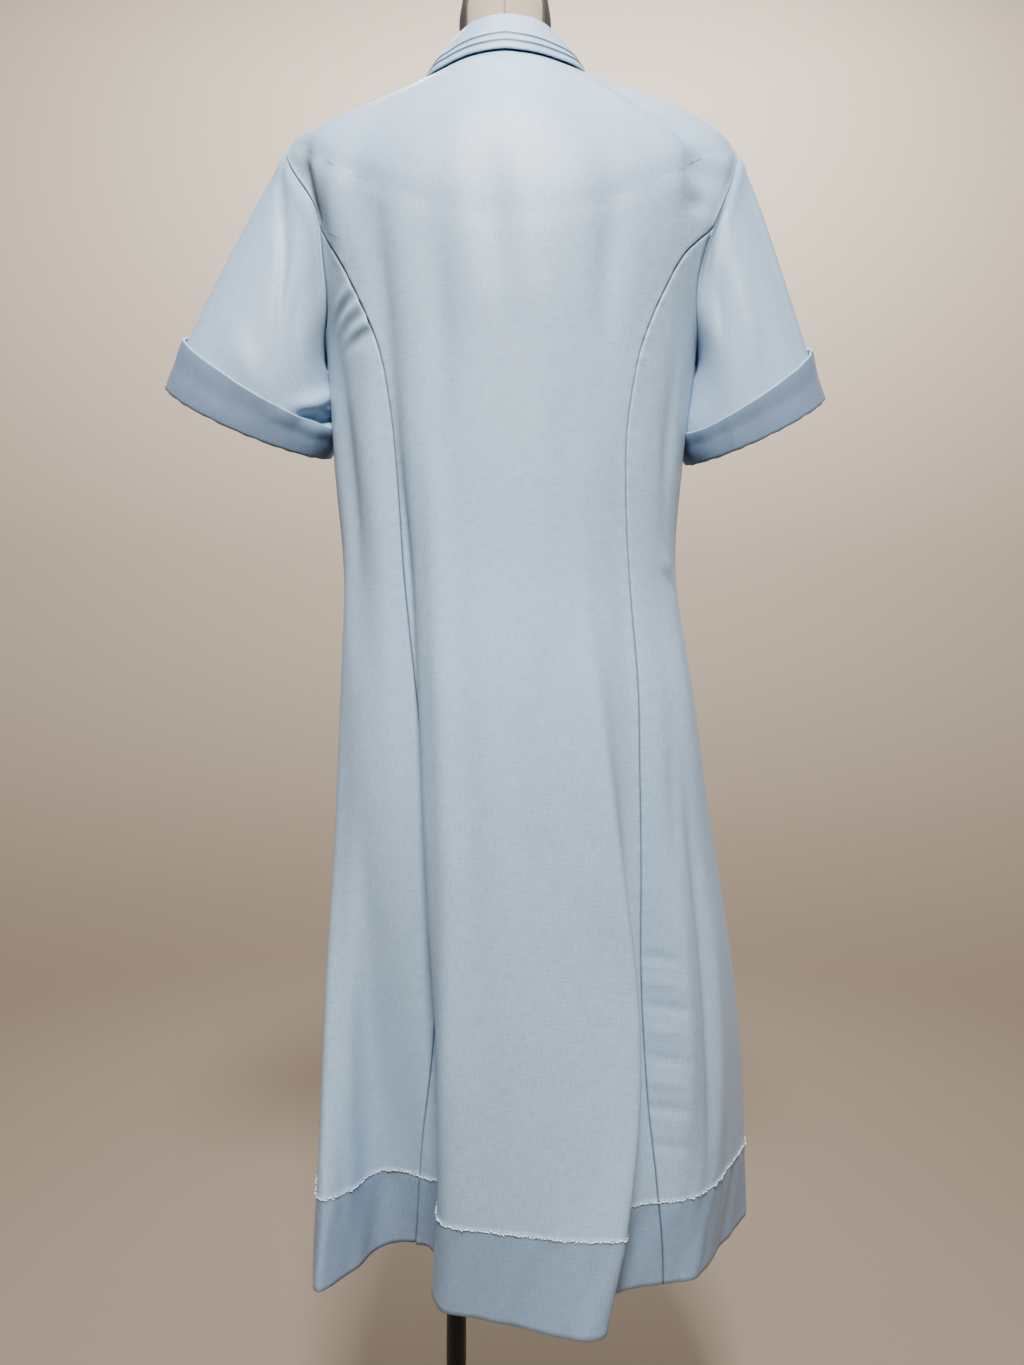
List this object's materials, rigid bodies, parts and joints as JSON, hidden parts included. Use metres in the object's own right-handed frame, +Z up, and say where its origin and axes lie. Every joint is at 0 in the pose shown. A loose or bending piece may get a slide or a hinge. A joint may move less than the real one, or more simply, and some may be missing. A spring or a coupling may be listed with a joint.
{
  "type": "uniform dress on dress form",
  "caption": "Short-sleeved uniform dress with a turn-down collar, turned-up cuffs and princess seams, on a limbless dress form with a pole and a round base.",
  "frame": {"origin": "on the floor plane, on the flat underside of the base, below the middle of the dress's neckline", "axes": "+Z up along the dress's height; the dress faces -Y, so its back and the pictured side face +Y; +X is the wearer's left"},
  "size_m": [0.6198, 0.3496, 1.5343],
  "materials": {
    "cloth": "matt pale blue woven cloth with a soft sheen",
    "button": "pale blue button, satin",
    "form_cloth": "matt beige cloth over a padded form",
    "form_cap": "matt black cap",
    "stand": "satin black paint"
  },
  "bodies": {
    "root": {"back": "cloth", "side_back_left": "cloth", "side_back_right": "cloth", "side_front_left": "cloth", "side_front_right": "cloth", "front_left": "cloth", "front_right": "cloth", "sleeve_left": "cloth", "sleeve_right": "cloth", "cuff_left": "cloth", "cuff_right": "cloth", "collar": "cloth", "button_1": "button", "button_2": "button", "button_3": "button", "button_4": "button", "button_5": "button", "button_6": "button", "button_7": "button", "button_8": "button", "form_torso": "form_cloth", "form_neck_cap": "form_cap", "form_socket": "stand", "pole": "stand", "base": "stand"}
  },
  "joints": []
}
